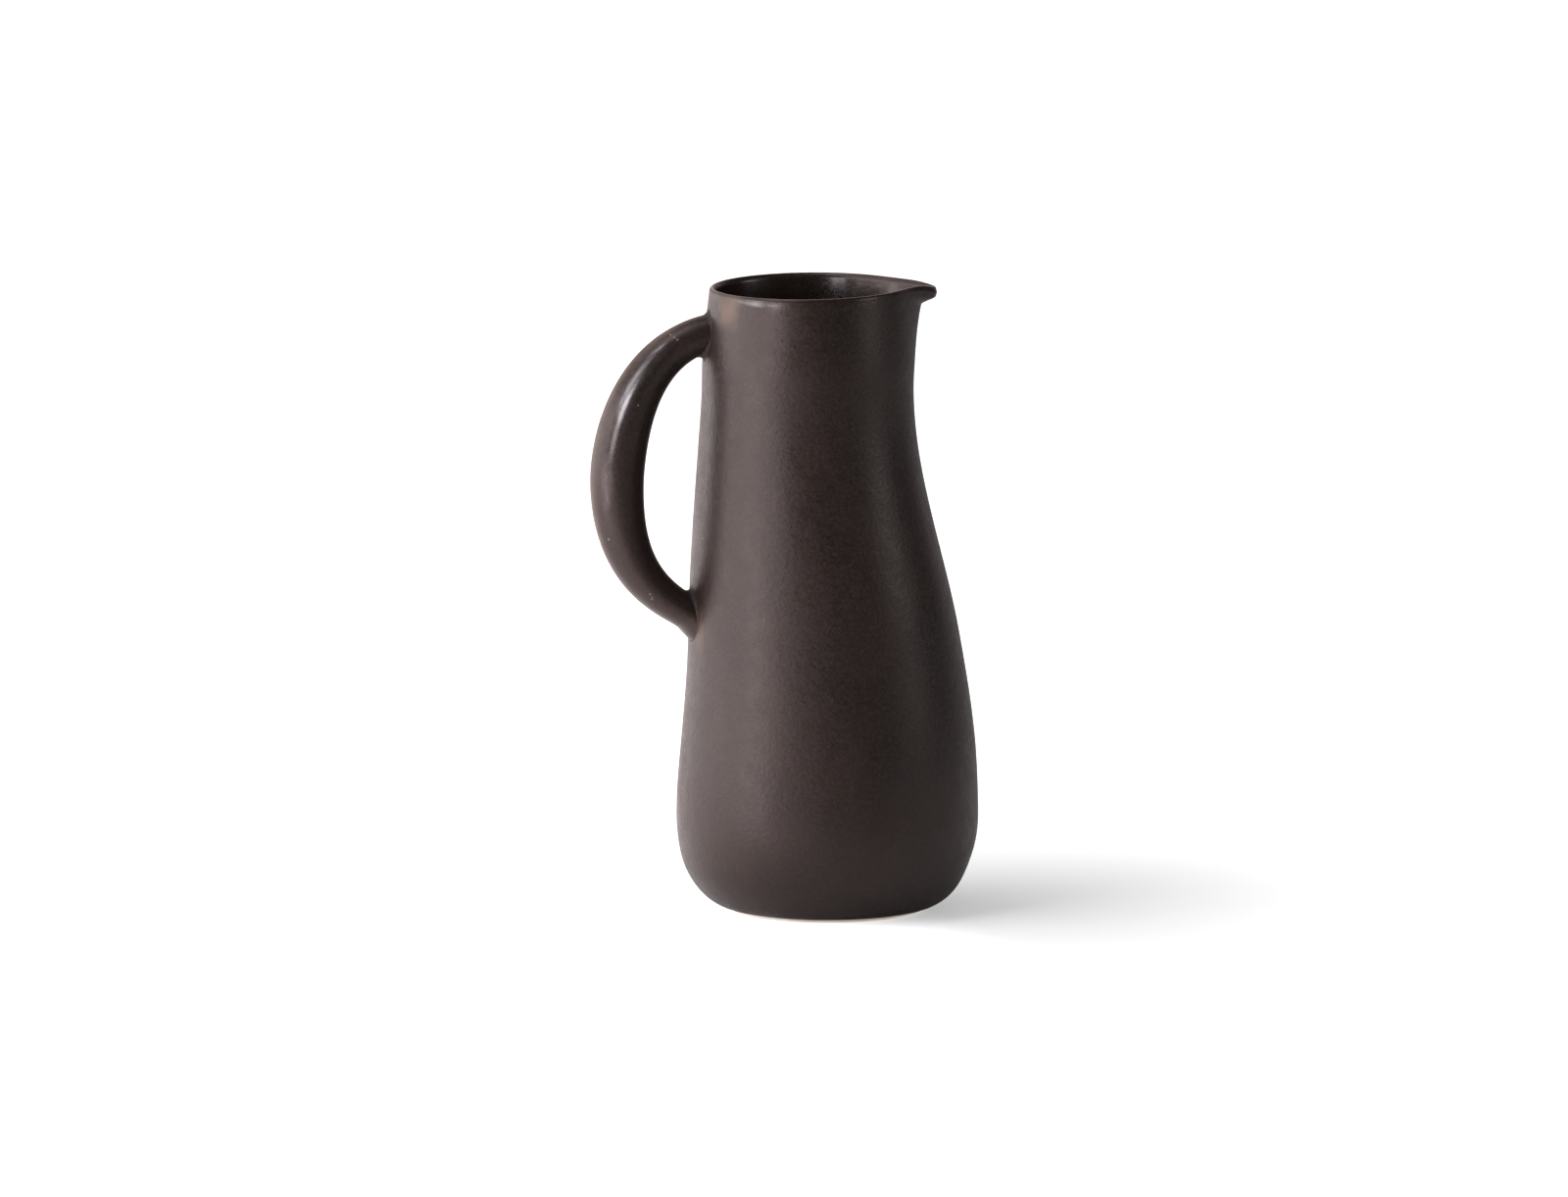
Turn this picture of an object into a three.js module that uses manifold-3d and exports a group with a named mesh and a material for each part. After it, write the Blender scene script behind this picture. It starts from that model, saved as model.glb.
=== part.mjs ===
// Stoneware jug: a thrown body whose rim is pinched into a spout, a loop handle luted on with a
// coil of clay at each end, and a bare turned foot ring under it.
// Millimetres, +Z up, spout toward +X, handle toward -X, standing on the plane Z = 0.
import * as THREE from 'three';
import { mergeVertices } from 'three/addons/utils/BufferGeometryUtils.js';
import Module from 'manifold-3d';

// Outside of the thrown wall, as radii at four heights. A taper is the radius lost per
// millimetre of height there.
const jugHeight = 270;
const bellyHeight = 41.5;
const bellyRadius = 64.8;
const shoulderHeight = 120;
const shoulderRadius = 58.3;
const shoulderTaper = 0.094;
const neckDrop = 38; // rim down to the narrowest place of the neck
const neckRadius = 45.4;
const neckTaper = 0;
const rimRadius = 42.1;
const rimTaper = 0.106;

// The neck stands behind the foot's axis, toward the handle, so the front of the jug is curved
// and its back is nearly straight.
const neckSetBack = 8.7;
const setBackStart = 83;
const setBackEnd = 215;

// Heel, the rounded lower edge between the belly and the foot.
const heelRise = 2.05; // power of the heel's curve in height
const heelSpread = 2.37; // power of the heel's curve in radius

// Wall, floor and lip.
const wallThickness = 5.2;
const lipThickness = 4.3;
const floorThickness = 6.5;
const floorRadius = 34; // flat part of the floor inside
const rimFall = 0.9; // the rim is this much lower at the handle than at the spout
const rimFallDepth = 30; // depth below the rim where that slope has died away

// Spout: a wide shallow throat pressed out of the neck, ending in a small beak.
const throatReach = 9.7;
const throatDepth = 52;
const throatFade = 2.2; // power with which the throat dies away downward
const throatHalfAngle = THREE.MathUtils.degToRad(18);
const beakReach = 5.4;
const beakThickness = 3.6;
const beakDepth = 8.3; // depth below the rim where the underside meets the throat
const beakHalfAngle = THREE.MathUtils.degToRad(7);
const beakDip = 1.2; // the beak's tip turns down by this much
const spoutSharpness = 1.4;

// Foot ring, of bare clay, seated in a rebate under the body.
const footRadius = 37.1;
const footWidth = 5.2;
const footHeight = 3;
const footEdgeRadius = 0.8;
const footClearance = 0.3; // radial gap between the ring and its rebate
const bareBand = 0.9; // height of bare clay that shows under the glaze

// Handle: centre line of the loop, seen from the side, and its section.
const handleTopDrop = 20; // rim down to the loop's centre line where it leaves the neck
const handleTopPitch = THREE.MathUtils.degToRad(13.5); // fall of the loop where it leaves the neck
const handleTopRun = 34.5;
const handleBottomHeight = 128.5;
const handleBottomPitch = THREE.MathUtils.degToRad(47);
const handleBottomRun = 7.5;
const handleReach = 91.6; // foot axis to the loop's centre line at its widest
const handleReachHeight = 186.5;
const handleUpperBulge = 12.6;
const handleLowerBulge = 45.5;
const gripThickness = 23.2;
const gripWidth = 22.4;
const topEndThickness = 16.2;
const topEndWidth = 16;
const bottomEndThickness = 14.9;
const bottomEndWidth = 21.5;
const gripFullness = 1.6; // power with which the section swells toward the grip
const handleSink = 9; // length of loop drawn past the wall before it is trimmed to the wall
const jointClearance = 0.3; // gap between the handle, the coils and the wall

// Luting coils, worked into the corner between the handle and the wall.
const upperCoilLeg = 2.6;
const lowerCoilLeg = 2.2;

// Fineness of the surfaces.
const turnSteps = 76;
const spoutCrowding = 0.55; // how strongly the steps gather at the spout
const heelRows = 8;
const innerHeelRows = 6;
const outerRows = 20;
const innerRows = 15;
const rowCrowding = 1.9; // how strongly the rows gather at the rim
const lipRows = 5;
const handleRows = 40;
const handleSteps = 26;
const coilSteps = 32;
const coilArcSteps = 3;
const footSteps = 72;
const footArcSteps = 2;

const turn = 2 * Math.PI;
const lipHeight = jugHeight - lipThickness / 2;
const neckHeight = jugHeight - neckDrop;
const handleTopHeight = jugHeight - handleTopDrop;
const heelRadius = footRadius + footClearance;
const floorHeight = footHeight + floorThickness;
const smoothstep = THREE.MathUtils.smoothstep;
const lerp = THREE.MathUtils.lerp;

const wasm = await Module();
wasm.setup();

// Closed skin over rows of points. The rows are loops of equal length, and their points turn
// counter-clockwise seen from the row that follows. The first and last rows are closed with a
// fan to their middle, or joined to each other where the skin wraps round.
function skin(rows, wrap = false) {
  const steps = rows[0].length;
  const points = rows.flat();
  const triangles = [];
  const joined = wrap ? rows.length : rows.length - 1;
  for (let row = 0; row < joined; row += 1) {
    const next = (row + 1) % rows.length;
    for (let step = 0; step < steps; step += 1) {
      const beside = (step + 1) % steps;
      const a = row * steps + step;
      const b = row * steps + beside;
      const c = next * steps + beside;
      const d = next * steps + step;
      triangles.push(a, b, c, a, c, d);
    }
  }
  if (!wrap) {
    const middle = (row) => row.reduce((sum, p) => sum.add(p), new THREE.Vector3()).divideScalar(steps);
    const start = points.length;
    const end = start + 1;
    points.push(middle(rows[0]), middle(rows.at(-1)));
    for (let step = 0; step < steps; step += 1) {
      const beside = (step + 1) % steps;
      const lastRow = (rows.length - 1) * steps;
      triangles.push(start, beside, step, end, lastRow + step, lastRow + beside);
    }
  }
  const geometry = new THREE.BufferGeometry().setFromPoints(points);
  geometry.setIndex(triangles);
  return geometry;
}

function toSolid(geometry) {
  const position = geometry.attributes.position;
  const vertProperties = new Float32Array(position.array);
  const triVerts = new Uint32Array(geometry.index.array);
  return new wasm.Manifold(new wasm.Mesh({ numProp: 3, vertProperties, triVerts }));
}

function toGeometry(solid) {
  const mesh = solid.getMesh();
  const geometry = new THREE.BufferGeometry();
  geometry.setAttribute('position', new THREE.BufferAttribute(mesh.vertProperties, 3));
  geometry.setIndex(new THREE.BufferAttribute(mesh.triVerts, 1));
  return geometry;
}

// Anchors of the wall's outline. Between two anchors the radius is a cubic of the height that
// keeps the taper of both.
const anchors = [
  { height: bellyHeight, radius: bellyRadius, taper: 0 },
  { height: shoulderHeight, radius: shoulderRadius, taper: shoulderTaper },
  { height: neckHeight, radius: neckRadius, taper: neckTaper },
  { height: lipHeight, radius: rimRadius, taper: rimTaper },
];

function wallRadiusAt(height) {
  const above = anchors.findIndex((anchor, i) => i > 0 && height <= anchor.height);
  const high = anchors[above === -1 ? anchors.length - 1 : above];
  const low = anchors[anchors.indexOf(high) - 1];
  const span = high.height - low.height;
  const t = (height - low.height) / span;
  const lowTaper = t * (1 - t) * (1 - t) * span * low.taper;
  const highTaper = t * t * (1 - t) * span * high.taper;
  return lerp(low.radius, high.radius, t * t * (3 - 2 * t)) - lowTaper + highTaper;
}

function setBackAt(height) {
  return neckSetBack * smoothstep(height, setBackStart, setBackEnd);
}

// Radius of a heel that rounds out from its lower edge to the upright wall at the belly.
function heelAt(height, lowRadius, lowHeight, highRadius) {
  const drop = (bellyHeight - height) / (bellyHeight - lowHeight);
  return lowRadius + (highRadius - lowRadius) * (1 - drop ** heelRise) ** (1 / heelSpread);
}

function outerRadiusAt(height) {
  if (height < bellyHeight) return heelAt(height, heelRadius, bareBand, bellyRadius);
  return wallRadiusAt(height);
}

function thicknessAt(height) {
  return lerp(wallThickness, lipThickness, smoothstep(height, setBackEnd, lipHeight));
}

// Share of the spout's reach at an angle from its middle: one at the middle, dying away on both
// sides with the half angle.
function pinch(angle, halfAngle) {
  const away = (2 - 2 * Math.cos(angle)) / halfAngle ** 2;
  return (1 + away) ** -spoutSharpness;
}

// How far the throat and the beak stand out at a depth below the rim. The beak's own face starts
// to fall back at the depth that its thickness gives: zero for the inside of the wall.
function spoutAt(depth, thickness) {
  const throat = throatReach * Math.max(0, 1 - depth / throatDepth) ** throatFade;
  const beak = beakReach * (1 - smoothstep(depth, thickness, beakDepth));
  return { throat, beak };
}

// One row round the wall: a circle of the inner radius, drawn out at the spout, then moved
// outward square to itself by the offset and set back toward the handle.
function wallRow({ radius, offset, height, spout }) {
  const distance = (angle) => radius + spout.throat * pinch(angle, throatHalfAngle)
    + spout.beak * pinch(angle, beakHalfAngle);
  const depth = jugHeight - height;
  const settle = 1 - smoothstep(depth, 0, rimFallDepth);
  const centre = -setBackAt(height);
  const nudge = 0.001;
  const row = [];
  for (let step = 0; step < turnSteps; step += 1) {
    const even = turn * step / turnSteps;
    const angle = even - spoutCrowding * Math.sin(even);
    const reach = distance(angle);
    const slope = (distance(angle + nudge) - distance(angle - nudge)) / (2 * nudge);
    const normal = new THREE.Vector2(reach, -slope).normalize().rotateAround(new THREE.Vector2(), angle);
    const fall = rimFall * (1 - Math.cos(angle)) / 2 + beakDip * pinch(angle, beakHalfAngle);
    row.push(new THREE.Vector3(
      centre + reach * Math.cos(angle) + offset * normal.x,
      reach * Math.sin(angle) + offset * normal.y,
      height - fall * settle,
    ));
  }
  return row;
}

const noSpout = { throat: 0, beak: 0 };

// Rows up a heel, from its lower edge to just under the belly.
function heelSections(count, lowRadius, lowHeight, highRadius) {
  const sections = [];
  for (let i = 0; i < count; i += 1) {
    const angle = Math.PI / 2 * (i / count);
    const drop = Math.cos(angle) ** (2 / heelRise);
    const height = lerp(bellyHeight, lowHeight, drop);
    const radius = heelAt(height, lowRadius, lowHeight, highRadius);
    sections.push({ radius, offset: 0, height, spout: noSpout });
  }
  return sections;
}

function wallHeights(count) {
  const heights = [];
  for (let i = 0; i <= count; i += 1) {
    heights.push(lerp(lipHeight, bellyHeight, (1 - i / count) ** rowCrowding));
  }
  return heights;
}

// Outside of the wall from the foot's edge to the lip, grown outward by a clearance.
function outerSections(grow = 0) {
  const heel = heelSections(heelRows, heelRadius, bareBand, bellyRadius);
  heel.forEach((section) => { section.offset += grow; });
  const wall = wallHeights(outerRows).map((height) => {
    const thickness = thicknessAt(height);
    return {
      radius: outerRadiusAt(height) - thickness,
      offset: thickness + grow,
      height,
      spout: spoutAt(jugHeight - height, beakThickness),
    };
  });
  return [...heel, ...wall];
}

// Inside of the wall, from the lip down to the edge of the flat floor.
function innerSections() {
  const wall = wallHeights(innerRows).map((height) => ({
    radius: outerRadiusAt(height) - thicknessAt(height),
    offset: 0,
    height,
    spout: spoutAt(jugHeight - height, 0),
  }));
  const heel = heelSections(innerHeelRows, floorRadius, floorHeight, bellyRadius - wallThickness);
  return [...wall.reverse(), ...heel.reverse()];
}

// Half round lip that joins the outside of the wall to the inside.
function lipSections() {
  const outside = spoutAt(lipThickness / 2, beakThickness);
  const inside = spoutAt(lipThickness / 2, 0);
  const sections = [];
  for (let i = 1; i <= lipRows; i += 1) {
    const angle = Math.PI * i / (lipRows + 1);
    const out = (1 + Math.cos(angle)) / 2;
    sections.push({
      radius: rimRadius - lipThickness,
      offset: lipThickness * out,
      height: lipHeight + lipThickness / 2 * Math.sin(angle),
      spout: {
        throat: lerp(inside.throat, outside.throat, out),
        beak: lerp(inside.beak, outside.beak, out),
      },
    });
  }
  return sections;
}

function bodyGeometry() {
  const underside = { radius: heelRadius, offset: 0, height: footHeight, spout: noSpout };
  const sections = [underside, ...outerSections(), ...lipSections(), ...innerSections()];
  return skin(sections.map(wallRow));
}

// Centre line of the handle from the neck round to the belly, with both ends drawn on into the
// wall.
function handleCurve() {
  const inPlane = (x, z) => new THREE.Vector3(x, 0, z);
  const wallAt = (height) => -setBackAt(height) - outerRadiusAt(height);
  const top = inPlane(wallAt(handleTopHeight), handleTopHeight);
  const bottom = inPlane(wallAt(handleBottomHeight), handleBottomHeight);
  const outward = inPlane(-Math.cos(handleTopPitch), -Math.sin(handleTopPitch));
  const inward = inPlane(Math.cos(handleBottomPitch), -Math.sin(handleBottomPitch));
  const widest = inPlane(-handleReach, handleReachHeight);
  const path = new THREE.CurvePath();
  path.add(new THREE.LineCurve3(top.clone().addScaledVector(outward, -handleSink), top));
  path.add(new THREE.CubicBezierCurve3(
    top,
    top.clone().addScaledVector(outward, handleTopRun),
    widest.clone().add(inPlane(0, handleUpperBulge)),
    widest,
  ));
  path.add(new THREE.CubicBezierCurve3(
    widest,
    widest.clone().add(inPlane(0, -handleLowerBulge)),
    bottom.clone().addScaledVector(inward, -handleBottomRun),
    bottom,
  ));
  path.add(new THREE.LineCurve3(bottom, bottom.clone().addScaledVector(inward, handleSink)));
  return path;
}

const loop = handleCurve();
const loopLength = loop.getLength();

// Oval section of the handle at a share of its length: half thickness across the loop, and half
// width from side to side.
function handleSection(share) {
  const bareLength = loopLength - 2 * handleSink;
  const along = THREE.MathUtils.clamp((share * loopLength - handleSink) / bareLength, 0, 1);
  const swell = Math.sin(Math.PI * along) ** gripFullness;
  const size = (top, bottom, grip) => lerp(top, bottom, along) + (grip - (top + bottom) / 2) * swell;
  return {
    thick: size(topEndThickness, bottomEndThickness, gripThickness) / 2,
    wide: size(topEndWidth, bottomEndWidth, gripWidth) / 2,
  };
}

// Point and outward normal of the handle's skin, at a share of its length and an angle round it.
function handleSkin(share, angle) {
  const centre = loop.getPointAt(share);
  const along = loop.getTangentAt(share);
  const across = new THREE.Vector3(along.z, 0, -along.x);
  const side = new THREE.Vector3(0, 1, 0);
  const { thick, wide } = handleSection(share);
  const point = centre.clone()
    .addScaledVector(across, thick * Math.cos(angle))
    .addScaledVector(side, wide * Math.sin(angle));
  const normal = across.multiplyScalar(Math.cos(angle) / thick)
    .addScaledVector(side, Math.sin(angle) / wide)
    .normalize();
  return { point, normal };
}

function handleSolid() {
  const rows = [];
  for (let i = 0; i <= handleRows; i += 1) {
    const row = [];
    for (let step = 0; step < handleSteps; step += 1) {
      row.push(handleSkin(i / handleRows, turn * step / handleSteps).point);
    }
    rows.push(row);
  }
  const wall = toSolid(skin(outerSections(jointClearance).map(wallRow)));
  return toSolid(skin(rows)).subtract(wall);
}

// Distance of a point from the outside of the wall, level with it, and the wall's normal there.
function wallDistance(point) {
  const centre = -setBackAt(point.z);
  return Math.hypot(point.x - centre, point.y) - outerRadiusAt(point.z);
}

function wallNormal(point) {
  const nudge = 0.01;
  const change = (x, y, z) => {
    const step = new THREE.Vector3(x, y, z).multiplyScalar(nudge);
    return wallDistance(point.clone().add(step)) - wallDistance(point.clone().sub(step));
  };
  return new THREE.Vector3(change(1, 0, 0), change(0, 1, 0), change(0, 0, 1)).normalize();
}

// Share of the handle's length where its skin, at one angle round it, stands at a distance from
// the wall. The search runs from the handle's end to its widest place.
function shareAtWall(angle, distance, end) {
  const halvings = 40;
  let near = end;
  let far = 0.5;
  for (let i = 0; i < halvings; i += 1) {
    const share = (near + far) / 2;
    if (wallDistance(handleSkin(share, angle).point) < distance) near = share;
    else far = share;
  }
  return (near + far) / 2;
}

// Coil of clay pressed into the corner round one end of the handle. Its section has one leg on
// the wall, one on the handle, and a hollow face between them.
function coilGeometry(end, leg) {
  const sections = [];
  for (let step = 0; step < coilSteps; step += 1) {
    const angle = turn * step / coilSteps;
    const { point, normal } = handleSkin(shareAtWall(angle, jointClearance, end), angle);
    const wall = wallNormal(point);
    const overWall = normal.clone().addScaledVector(wall, -normal.dot(wall)).normalize();
    const lift = jointClearance / overWall.dot(normal);
    const corner = point.clone().addScaledVector(overWall, lift);
    const onWall = corner.clone().addScaledVector(overWall, leg);
    onWall.addScaledVector(wallNormal(onWall), jointClearance - wallDistance(onWall));
    const alongHandle = wall.clone().addScaledVector(normal, -wall.dot(normal)).normalize();
    const legDistance = jointClearance + leg * alongHandle.dot(wall);
    const toe = handleSkin(shareAtWall(angle, legDistance, end), angle);
    const onHandle = toe.point.addScaledVector(toe.normal, jointClearance);
    const face = new THREE.QuadraticBezierCurve3(onWall, corner, onHandle);
    sections.push([corner, ...face.getPoints(coilArcSteps)]);
  }
  const rows = sections[0].map((_, i) => sections.map((section) => section[i]));
  return skin(end === 0 ? rows : rows.reverse(), true);
}

// Turned ring with softened lower edges, flat where it stands and where it meets the body.
function footGeometry() {
  const inner = footRadius - footWidth;
  const outline = new THREE.Path();
  outline.moveTo(inner, footHeight);
  outline.lineTo(inner, footEdgeRadius);
  outline.absarc(inner + footEdgeRadius, footEdgeRadius, footEdgeRadius, Math.PI, 1.5 * Math.PI);
  outline.absarc(footRadius - footEdgeRadius, footEdgeRadius, footEdgeRadius, 1.5 * Math.PI, turn);
  outline.lineTo(footRadius, footHeight);
  outline.lineTo(inner, footHeight);
  const geometry = new THREE.LatheGeometry(outline.getPoints(footArcSteps), footSteps);
  geometry.deleteAttribute('normal');
  geometry.deleteAttribute('uv');
  return mergeVertices(geometry.rotateX(Math.PI / 2));
}

const darkGlaze = { color: 0x40352f, roughness: 0.5, metalness: 0 };
const bareClay = { color: 0xdcc3ab, roughness: 0.9, metalness: 0 };

// The overall box, from the handle's outermost point to the belly's front, is centred on X = 0.
const jug = new THREE.Group();
jug.position.x = (handleReach + gripThickness / 2 - bellyRadius) / 2;

function place(name, geometry, finish) {
  const mesh = new THREE.Mesh(geometry, new THREE.MeshStandardMaterial(finish));
  mesh.name = name;
  jug.add(mesh);
}

place('jug_body', bodyGeometry(), darkGlaze);
place('loop_handle', toGeometry(handleSolid()), darkGlaze);
place('upper_luting_coil', coilGeometry(0, upperCoilLeg), darkGlaze);
place('lower_luting_coil', coilGeometry(1, lowerCoilLeg), darkGlaze);
place('foot_ring', footGeometry(), bareClay);

export default jug;
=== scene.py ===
"""Stoneware jug on a white sweep: a thrown body with a pinched spout, a pulled loop handle luted on
at both ends, and a turned foot of bare clay under a satin dark brown glaze.

Sizes are in millimetres from the middle of the foot, with the spout toward +X and the handle toward
-X. The frame's origin is the middle of the overall box, so each mesh is moved by FOOT_AXIS along X,
and it holds metres.
"""
import math

import bpy
import numpy as np
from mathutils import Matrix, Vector


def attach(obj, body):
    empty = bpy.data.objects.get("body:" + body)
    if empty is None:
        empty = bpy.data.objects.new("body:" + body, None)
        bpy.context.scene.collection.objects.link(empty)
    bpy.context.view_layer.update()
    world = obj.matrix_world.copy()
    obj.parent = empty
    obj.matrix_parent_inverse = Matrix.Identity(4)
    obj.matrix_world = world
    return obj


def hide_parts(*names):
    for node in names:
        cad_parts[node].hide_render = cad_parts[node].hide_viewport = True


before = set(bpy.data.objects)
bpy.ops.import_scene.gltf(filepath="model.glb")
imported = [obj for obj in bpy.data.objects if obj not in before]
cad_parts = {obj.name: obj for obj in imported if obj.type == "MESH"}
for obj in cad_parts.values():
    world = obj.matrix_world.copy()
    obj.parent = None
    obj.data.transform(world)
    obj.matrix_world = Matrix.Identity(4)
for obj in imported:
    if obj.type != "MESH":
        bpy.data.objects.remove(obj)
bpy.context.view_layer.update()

MM = 0.001
TURN = 2 * math.pi

# Outside of the wall: radii at four heights, and the radius lost per millimetre of height there.
JUG_HEIGHT = 270
BELLY_HEIGHT, BELLY_RADIUS = 41.5, 64.8
SHOULDER_HEIGHT, SHOULDER_RADIUS, SHOULDER_TAPER = 120, 58.3, 0.094
NECK_HEIGHT, NECK_RADIUS, NECK_TAPER = 232, 45.4, 0
RIM_RADIUS, RIM_TAPER = 42.1, 0.106
NECK_SET_BACK, SET_BACK_START, SET_BACK_END = 8.7, 83, 215
HEEL_RISE, HEEL_SPREAD = 2.05, 2.37

# Leans of the wall's centre: how far toward the spout, the height of the middle, and the spread.
HEEL_LEAN = (-0.45, 19, 9)
BELLY_LEAN = (0.3, 72, 16)

# Wall, floor and lip.
WALL, LIP = 5.2, 4.3
FLOOR_RADIUS, FLOOR_HEIGHT = 34, 9.5
LIP_HEIGHT = JUG_HEIGHT - LIP / 2
RIM_FALL, RIM_FALL_DEPTH = 0.9, 30

# Spout.
THROAT_REACH, THROAT_DEPTH, THROAT_FADE = 9.7, 52, 2.2
BEAK_REACH, BEAK_THICKNESS, BEAK_DEPTH, BEAK_DIP, BEAK_DROOP = 5.4, 4.2, 8.6, 1.2, 1.4
THROAT_HALF_ANGLE, BEAK_HALF_ANGLE = math.radians(18), math.radians(7)
SPOUT_SHARPNESS = 1.4
DROOP_START, DROOP_END = 1, 9

# Foot, with the rebate that it is seated in and the dome inside it. FOOT_SIDE is a height on its side.
FOOT_RADIUS, FOOT_WIDTH, FOOT_HEIGHT, FOOT_EDGE = 41.6, 10.4, 3, 0.5
FOOT_CLEARANCE = 0.3
FOOT_SIDE = 1.6
HEEL_RADIUS, HEEL_LOW = 37.4, 0.9
BARE_BAND = 1.3
DOME_RADIUS, DOME_RISE = 31, 0.9
SEAT_START, SEAT_MIDDLE, SEAT_BEVEL, SEAT_OVERLAP = DOME_RADIUS + 0.6, 38, 0.15, 0.2
TOOL_LINE, TOOL_LINE_SPACING = 0.12, 4.5
FOOT_LINE, FOOT_LINES = 0.06, 4

# Marks that throwing leaves: a roll of glaze over the foot, a spiral ridge, a waver and a flared edge.
ROLL, ROLL_RISE, ROLL_SPREAD = 0.16, 0.9, 0.6
# Fades are the depths below the rim, heights or radii between which a mark comes up or dies away.
RIDGE, RIDGE_SPACING, RIDGE_FADE = 0.3, 8.5, (12, 60)
FLOOR_RIDGE, FLOOR_RIDGE_SPACING, FLOOR_RIDGE_START, FLOOR_RIDGE_END = 0.35, 9, (1, 8), (26, FLOOR_RADIUS)
WAVER, WAVER_RISE, WAVER_FALL = 0.06, 31, 23
WAVER_LOW_FADE, WAVER_TOP_FADE, WAVER_BELLY_GAP = (2, 20), (4, 30), 14
FLARE, FLARE_AT_SPOUT, FLARE_DEPTH = 2.1, 0.3, 22

# Wear of the body, mostly as a middle and a spread: the thin line over the lip, thin glaze that
# is also a painted highlight, as shares of its width, the place at the front left that is polished
# most, and the back of the neck inside.
LIP_THIN_AND_HIGHLIGHT = (0.48, 0.18)
FOOT_LINE_SPREAD = 0.5
SIPPED_ANGLE, SIPPED_HEIGHT = (math.radians(236), math.radians(15)), (LIP_HEIGHT - 1, 1.7)
BACK_ANGLE = (math.radians(50), math.radians(20))
RIM_POLISH, SIPPED_POLISH, INSIDE_POLISH, BACK_POLISH = 0.28, 0.75, 0.4, 0.25
RIM_POLISH_FADE, INSIDE_POLISH_FADE = (JUG_HEIGHT - 4, LIP_HEIGHT), (JUG_HEIGHT - 30, JUG_HEIGHT - 13)

# Handle. SINK is how much of its line runs on inside the wall at each end, and HANDLE_INSET is how
# deep its trimmed ends lie there. The rubbed ridge has an angle and a spread, both in radians, and
# the shares of the length over which it comes up below the neck and fades toward the belly.
TOP_HEIGHT, TOP_PITCH, TOP_RUN = 250, math.radians(13.5), 34.5
BOTTOM_HEIGHT, BOTTOM_PITCH, BOTTOM_RUN = 128.5, math.radians(47), 7.5
REACH, REACH_HEIGHT, UPPER_BULGE, LOWER_BULGE = 91.6, 186.5, 12.6, 45.5
GRIP_THICKNESS, GRIP_WIDTH, GRIP_FULLNESS = 23.2, 22.4, 1.6
TOP_THICKNESS, TOP_WIDTH = 16.2, 16
BOTTOM_THICKNESS, BOTTOM_WIDTH = 14.9, 21.5
SINK = 9
HANDLE_INSET = 0.4
HANDLE_WAVER = 0.1
RUBBED_ANGLE, RUBBED_START, RUBBED_FADE = (1.06, 0.36), (0.09, 0.22), (0.42, 0.66)

# Luting: how deep its edges are sunk, how far it stands back from the corner behind its face, and
# the legs of each coil's face at the sides, on the outside and in the finger gap.
LUTING_SINK, LUTING_BACK = 0.25, 0.6
UPPER_LEGS, LOWER_LEGS = (0.25, 3.8, 5.2), (0.25, 0.6, 5.0)

FOOT_AXIS = (REACH + GRIP_THICKNESS / 2 - BELLY_RADIUS) / 2

# Steps round each piece, rows along the parts of the body's profile and along the other pieces, and
# how much the rows crowd toward the lip and toward the handle's ends.
BODY_STEPS, HANDLE_STEPS, LUTING_STEPS, FOOT_STEPS = 256, 104, 144, 180
DOME_ROWS, HEEL_ROWS, OUTSIDE_ROWS, LIP_ROWS = 12, 46, 110, 16
INSIDE_ROWS, INNER_HEEL_ROWS, FLOOR_ROWS = 80, 25, 16
LOOP_ROWS, HANDLE_ROWS, LUTING_ROWS, FOOT_EDGE_ROWS, FOOT_FLAT_ROWS = 801, 190, 13, 7, 22
SPOUT_CROWDING, OUTSIDE_CROWDING, INSIDE_CROWDING, HANDLE_CROWDING = 0.55, 1.7, 1.5, 0.75
HALVINGS = 44


def lerp(low, high, share):
    return low + (high - low) * share


def smoothstep(value, low, high):
    t = np.clip((value - low) / (high - low), 0, 1)
    return t * t * (3 - 2 * t)


def bump(value, middle, width):
    """Bell curve of height one: e to the minus square of the distance from its middle over its width."""
    return np.exp(-((value - middle) / width) ** 2)


def unit(vectors):
    return vectors / np.linalg.norm(vectors, axis=-1, keepdims=True)


# Shape of the thrown wall

ANCHORS = (
    (BELLY_HEIGHT, BELLY_RADIUS, 0),
    (SHOULDER_HEIGHT, SHOULDER_RADIUS, SHOULDER_TAPER),
    (NECK_HEIGHT, NECK_RADIUS, NECK_TAPER),
    (LIP_HEIGHT, RIM_RADIUS, RIM_TAPER),
)


def wall_radius(z):
    """Radius above the belly: between two anchors a cubic of the height, from the radius of the one
    to that of the other as 3t^2 - 2t^3, less t(1-t)^2 times the span and the lower taper, plus
    t^2(1-t) times the span and the upper taper."""
    radius = np.full(np.shape(z), float(BELLY_RADIUS))
    for (low_z, low_r, low_taper), (high_z, high_r, high_taper) in zip(ANCHORS, ANCHORS[1:]):
        span = high_z - low_z
        t = (z - low_z) / span
        cubic = (lerp(low_r, high_r, t * t * (3 - 2 * t)) - t * (1 - t) ** 2 * span * low_taper
                 + t * t * (1 - t) * span * high_taper)
        radius = np.where(z >= low_z, cubic, radius)
    return radius


def heel_radius(z, low_radius, low_z, high_radius):
    """Radius of a heel: the fall from the belly, as a share, to the power HEEL_RISE, taken from one,
    to the power one over HEEL_SPREAD, carries it from the lower radius out to the belly's."""
    drop = np.clip((BELLY_HEIGHT - z) / (BELLY_HEIGHT - low_z), 0, 1)
    return low_radius + (high_radius - low_radius) * (1 - drop ** HEEL_RISE) ** (1 / HEEL_SPREAD)


def heel_heights(share, low_z):
    """Heights up a heel whose points lie evenly along its curve: the share of a quarter turn, as a
    cosine to the power two over HEEL_RISE, carries them from low_z up to the belly."""
    return lerp(BELLY_HEIGHT, low_z, np.cos(math.pi / 2 * share) ** (2 / HEEL_RISE))


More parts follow.
